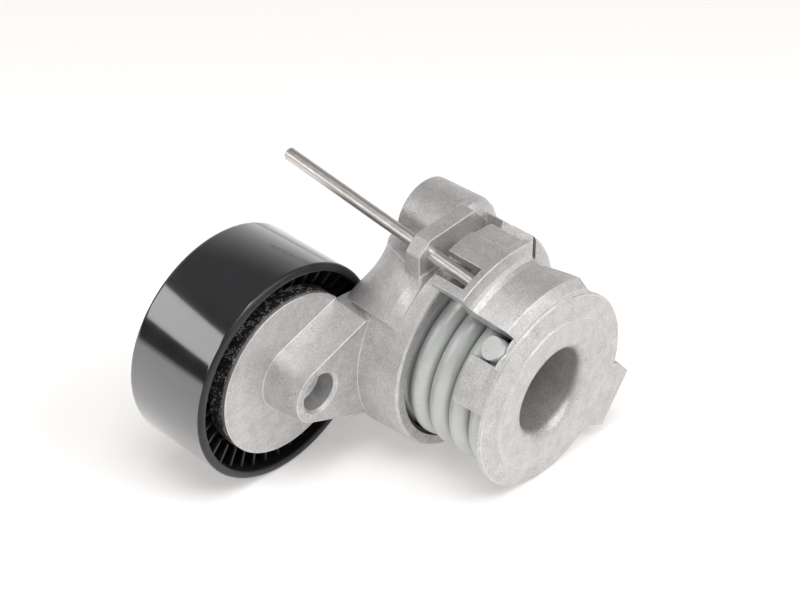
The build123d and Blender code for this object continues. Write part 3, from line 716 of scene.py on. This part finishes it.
section = rounded([
    (RIM_R, FRONT, LIP_R), (RIM_R, BACK, LIP_R),
    (RIM_IN_R, BACK, INNER_LIP_R), (RIM_IN_R, WEB_FAR, CORNER_R), (HUB_R, WEB_FAR, CORNER_R),
    (HUB_R, HUB_FAR, HUB_EDGE_R), (BORE_R, HUB_FAR, HUB_EDGE_R),
    (BORE_R, HUB_FACE, HUB_EDGE_R), (HUB_R, HUB_FACE, HUB_EDGE_R),
    (HUB_R, WEB_FACE, CORNER_R), (RIM_IN_R, WEB_FACE, CORNER_R), (RIM_IN_R, FRONT, INNER_LIP_R)])
print("pulley section has", len(section), "points")

# %% [markdown]
# The spun shape closes on itself, so its doubles are merged, and its faces are turned
# outwards, because a spin can turn a shape inside out. Faces that meet at a small angle are
# shaded as one. The running surface is told from the rest by its distance from the axis.

# %% Spin the section
SMOOTH_BELOW = radians(35)
SPIN_STEPS = 180
RUNNING_SKIN = 0.12


def finished_mesh(edit, name):
    """Merge doubles, turn the faces outwards and shade smoothly up to an angle."""
    bmesh.ops.remove_doubles(edit, verts=edit.verts, dist=1e-6)
    bmesh.ops.recalc_face_normals(edit, faces=edit.faces)
    mesh = bpy.data.meshes.new(name)
    edit.to_mesh(mesh)
    edit.free()
    mesh.shade_smooth()
    mesh.set_sharp_from_angle(angle=SMOOTH_BELOW)
    made = bpy.data.objects.new(name, mesh)
    bpy.context.scene.collection.objects.link(made)
    return made


edit = bmesh.new()
ring = [edit.verts.new(AXIS + Vector((p.x, p.y, 0)) * MM) for p in section]
edges = [edit.edges.new((a, b)) for a, b in zip(ring, ring[1:] + ring[:1])]
bmesh.ops.spin(edit, geom=ring + edges, cent=AXIS, axis=(0, 1, 0), angle=2 * pi,
               steps=SPIN_STEPS, use_merge=True)
pulley = finished_mesh(edit, "pulley_moulding")
pulley.data.materials.append(moulded_nylon)
pulley.data.materials.append(running_nylon)
for face in pulley.data.polygons:
    across_axis = face.center - AXIS
    across_axis.y = 0
    face.material_index = int(across_axis.length > (RIM_R - RUNNING_SKIN) * MM)
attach(pulley, "pulley")
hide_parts("pulley_shell")
print("pulley", len(pulley.data.polygons), "faces")

# %% [markdown]
# A rib is a thin plate from the hub ring to the rim, through the web. In front it starts low,
# to clear the hub shield, and steps up towards the rim. It reaches a little into the hub and
# the rim, so that no gap shows, and its edges are rounded as a mould leaves them.

# %% One rib
RIB_THICKNESS, RIB_EDGE_R, SUNK_IN = 1.2, 0.22, 0.3
STEP_FOOT_R, STEP_TOP_R = 26.6, 26.9

rib_outline = [
    (HUB_R - SUNK_IN, HUB_FACE + 0.5), (STEP_FOOT_R, HUB_FACE - 0.1), (STEP_TOP_R, FRONT + 4.2),
    (RIM_IN_R + SUNK_IN, FRONT + 3.0), (RIM_IN_R + SUNK_IN, BACK - 2.8), (HUB_R - SUNK_IN, HUB_FAR - 0.6)]
edit = bmesh.new()
flat = edit.faces.new([edit.verts.new((r * MM, y * MM, -RIB_THICKNESS / 2 * MM)) for r, y in rib_outline])
grown = bmesh.ops.extrude_face_region(edit, geom=[flat])
bmesh.ops.translate(edit, vec=(0, 0, RIB_THICKNESS * MM),
                    verts=[v for v in grown["geom"] if isinstance(v, bmesh.types.BMVert)])
bmesh.ops.bevel(edit, geom=edit.edges[:], offset=RIB_EDGE_R * MM, segments=2, affect="EDGES")
rib = finished_mesh(edit, "pulley_rib")
print("rib", len(rib.data.polygons), "faces")

# %% [markdown]
# The tree puts a point on the axis for each rib, sets a copy of the rib on every point, and
# turns each by its share of a full circle. An array modifier would need an empty to turn
# about; the tree only needs the count and the centre.

# %% Copies of the rib round the axis
RIBS = 38

rib_group, rib_in, rib_out = new_group("ribs_round_axis")
rib_values = {
    new_input(rib_group, "Count", "NodeSocketInt"): RIBS,
    new_input(rib_group, "Centre", "NodeSocketVector"): AXIS,
    new_input(rib_group, "Material", "NodeSocketMaterial"): moulded_nylon,
}
spots = add(rib_group, "GeometryNodeMeshLine", None, {
    "Count": rib_in.outputs["Count"], "Start Location": rib_in.outputs["Centre"], "Offset": (0, 0, 0)})
number = add(rib_group, "GeometryNodeInputIndex")
share = add(rib_group, "ShaderNodeMath", {"operation": "DIVIDE"}, {
    0: number.outputs["Index"], 1: rib_in.outputs["Count"]})
angle = add(rib_group, "ShaderNodeMath", {"operation": "MULTIPLY"}, {0: share.outputs["Value"], 1: 2 * pi})
euler = add(rib_group, "ShaderNodeCombineXYZ", None, {"Y": angle.outputs["Value"]})
rotation = add(rib_group, "FunctionNodeEulerToRotation", None, {"Euler": euler.outputs["Vector"]})
copies = add(rib_group, "GeometryNodeInstanceOnPoints", None, {
    "Points": spots.outputs["Mesh"], "Instance": rib_in.outputs["Geometry"],
    "Rotation": rotation.outputs["Rotation"]})
solid = add(rib_group, "GeometryNodeRealizeInstances", None, {"Geometry": copies.outputs["Instances"]})
coloured = add(rib_group, "GeometryNodeSetMaterial", None, {
    "Geometry": solid.outputs["Geometry"], "Material": rib_in.outputs["Material"]})
rib_group.links.new(coloured.outputs["Geometry"], rib_out.inputs["Geometry"])
ribs = run_nodes(rib, rib_group, rib_values, "pulley_ribs")
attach(ribs, "pulley")
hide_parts("pulley_shell")
print("ribs", len(ribs.data.polygons), "faces")
